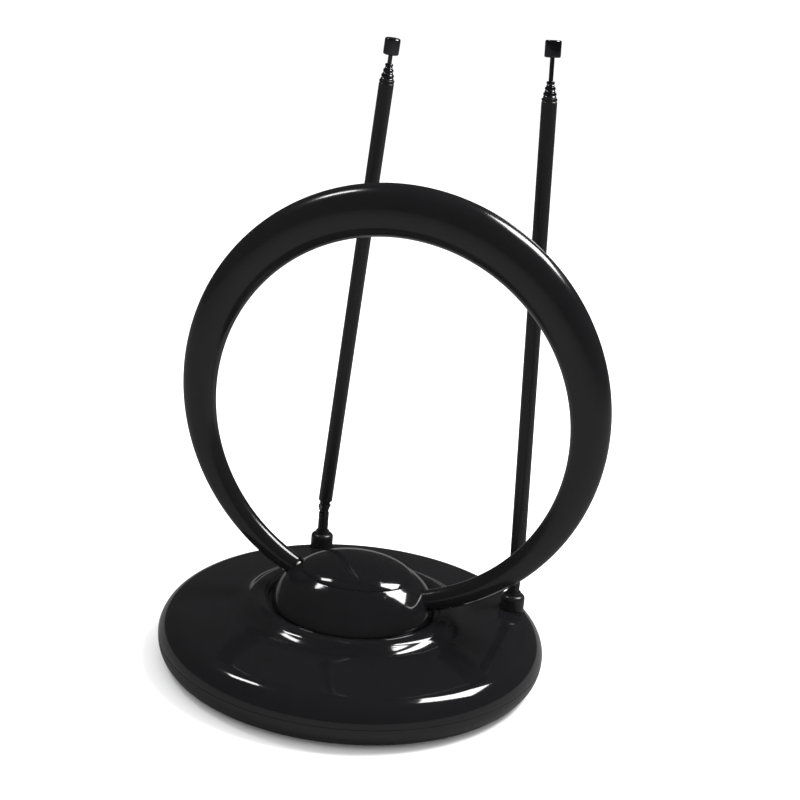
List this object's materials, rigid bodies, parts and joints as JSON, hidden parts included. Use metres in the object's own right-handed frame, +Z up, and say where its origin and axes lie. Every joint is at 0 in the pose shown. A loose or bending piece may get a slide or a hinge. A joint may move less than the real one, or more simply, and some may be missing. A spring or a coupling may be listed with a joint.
{
  "type": "rabbit ears antenna",
  "caption": "Indoor television antenna: an upright loop on a swivelling hub and telescopic whips that tilt and turn, on a round weighted base.",
  "frame": {"origin": "middle of the round base, on the surface that the feet stand on", "axes": "+Z up; -Y is the front, where the loop stands before the whips; the whips stand behind the hub in a line along X, and left and right are -X and +X"},
  "size_m": [0.1924, 0.1784, 0.2861],
  "materials": {
    "shell_black": "polished black",
    "cover_black": "satin black",
    "hub_black": "polished black",
    "loop_black": "polished black",
    "foot_rubber": "matt",
    "grommet_rubber": "matt",
    "ballast_iron": "sawn and oiled",
    "screw_steel": "zinc plated",
    "board_green": "solder mask",
    "ferrite": "sintered",
    "winding_copper": "enamelled",
    "capacitor_tan": "dipped",
    "socket_black": "black plated",
    "nut_brass": "plain",
    "tag_tin": "tinned",
    "lead_red": "insulated",
    "lead_grey": "insulated",
    "clamp_nylon": "moulded",
    "conductor_aluminium": "drawn",
    "terminal_brass": "plain",
    "whip_black": "black semi-gloss",
    "whip_chrome": "dark chrome",
    "pin_steel": "plain"
  },
  "bodies": {
    "base": {"base_shell": "shell_black", "base_cover": "cover_black", "rubber_feet": "foot_rubber", "ballast_plate": "ballast_iron", "cover_screws": "screw_steel", "cable_grommet": "grommet_rubber", "circuit_board": "board_green", "board_screws": "screw_steel", "balun_core": "ferrite", "balun_windings": "winding_copper", "capacitors": "capacitor_tan", "left_socket": "socket_black", "left_socket_nut": "nut_brass", "left_solder_tag": "tag_tin", "left_lead": "lead_red", "right_socket": "socket_black", "right_socket_nut": "nut_brass", "right_solder_tag": "tag_tin", "right_lead": "lead_red"},
    "hub": {"hub_body": "hub_black", "hub_cap": "hub_black", "hub_spindle": "clamp_nylon", "spindle_washer": "screw_steel", "wave_spring": "pin_steel", "spindle_nut": "clamp_nylon", "loop_clamp": "clamp_nylon", "clamp_screws": "screw_steel", "loop_front_shell": "loop_black", "loop_back_shell": "loop_black", "loop_conductor": "conductor_aluminium", "loop_plugs": "clamp_nylon", "loop_terminals": "terminal_brass", "loop_leads": "lead_grey"},
    "left_swivel": {"left_stem": "socket_black", "left_stem_clip": "pin_steel"},
    "left_section_1": {"left_fork": "socket_black", "left_hinge_pin": "pin_steel", "left_tube_1": "whip_black"},
    "left_section_2": {"left_tube_2": "whip_chrome"},
    "left_section_3": {"left_tube_3": "whip_chrome"},
    "left_section_4": {"left_tube_4": "whip_chrome"},
    "left_section_5": {"left_rod": "whip_chrome", "left_tip": "whip_chrome"},
    "right_swivel": {"right_stem": "socket_black", "right_stem_clip": "pin_steel"},
    "right_section_1": {"right_fork": "socket_black", "right_hinge_pin": "pin_steel", "right_tube_1": "whip_black"},
    "right_section_2": {"right_tube_2": "whip_chrome"},
    "right_section_3": {"right_tube_3": "whip_chrome"},
    "right_section_4": {"right_tube_4": "whip_chrome"},
    "right_section_5": {"right_rod": "whip_chrome", "right_tip": "whip_chrome"}
  },
  "joints": [
    {"name": "hub_swivel", "type": "hinge", "parent": "base", "child": "hub", "pos_m": [0, 0, 0.0265], "axis": [0, 0, 1], "range_deg": [-46, 14]},
    {"name": "left_swivel", "type": "hinge", "parent": "base", "child": "left_swivel", "pos_m": [-0.055, 0.0546, 0.03], "axis": [0, 0, -1], "range_deg": [-110, 70]},
    {"name": "left_tilt", "type": "hinge", "parent": "left_swivel", "child": "left_section_1", "pos_m": [-0.055, 0.0546, 0.0446], "axis": [-0.342, -0.9397, 0], "range_deg": [-6.1, 95.9]},
    {"name": "left_slide_1", "type": "slide", "parent": "left_section_1", "child": "left_section_2", "axis": [0.0966, -0.0352, 0.9947], "range_m": [0, 0.195]},
    {"name": "left_slide_2", "type": "slide", "parent": "left_section_2", "child": "left_section_3", "axis": [0.0966, -0.0352, 0.9947], "range_m": [0, 0.195]},
    {"name": "left_slide_3", "type": "slide", "parent": "left_section_3", "child": "left_section_4", "axis": [0.0966, -0.0352, 0.9947], "range_m": [0, 0.195]},
    {"name": "left_slide_4", "type": "slide", "parent": "left_section_4", "child": "left_section_5", "axis": [0.0966, -0.0352, 0.9947], "range_m": [-0.004, 0.195]},
    {"name": "right_swivel", "type": "hinge", "parent": "base", "child": "right_swivel", "pos_m": [0.055, 0.0546, 0.03], "axis": [0, 0, 1], "range_deg": [-75, 105]},
    {"name": "right_tilt", "type": "hinge", "parent": "right_swivel", "child": "right_section_1", "pos_m": [0.055, 0.0546, 0.0446], "axis": [0.2588, 0.9659, 0], "range_deg": [-8.7, 93.3]},
    {"name": "right_slide_1", "type": "slide", "parent": "right_section_1", "child": "right_section_2", "axis": [-0.0556, 0.0149, 0.9983], "range_m": [0, 0.195]},
    {"name": "right_slide_2", "type": "slide", "parent": "right_section_2", "child": "right_section_3", "axis": [-0.0556, 0.0149, 0.9983], "range_m": [0, 0.195]},
    {"name": "right_slide_3", "type": "slide", "parent": "right_section_3", "child": "right_section_4", "axis": [-0.0556, 0.0149, 0.9983], "range_m": [0, 0.195]},
    {"name": "right_slide_4", "type": "slide", "parent": "right_section_4", "child": "right_section_5", "axis": [-0.0556, 0.0149, 0.9983], "range_m": [-0.01, 0.189]}
  ]
}
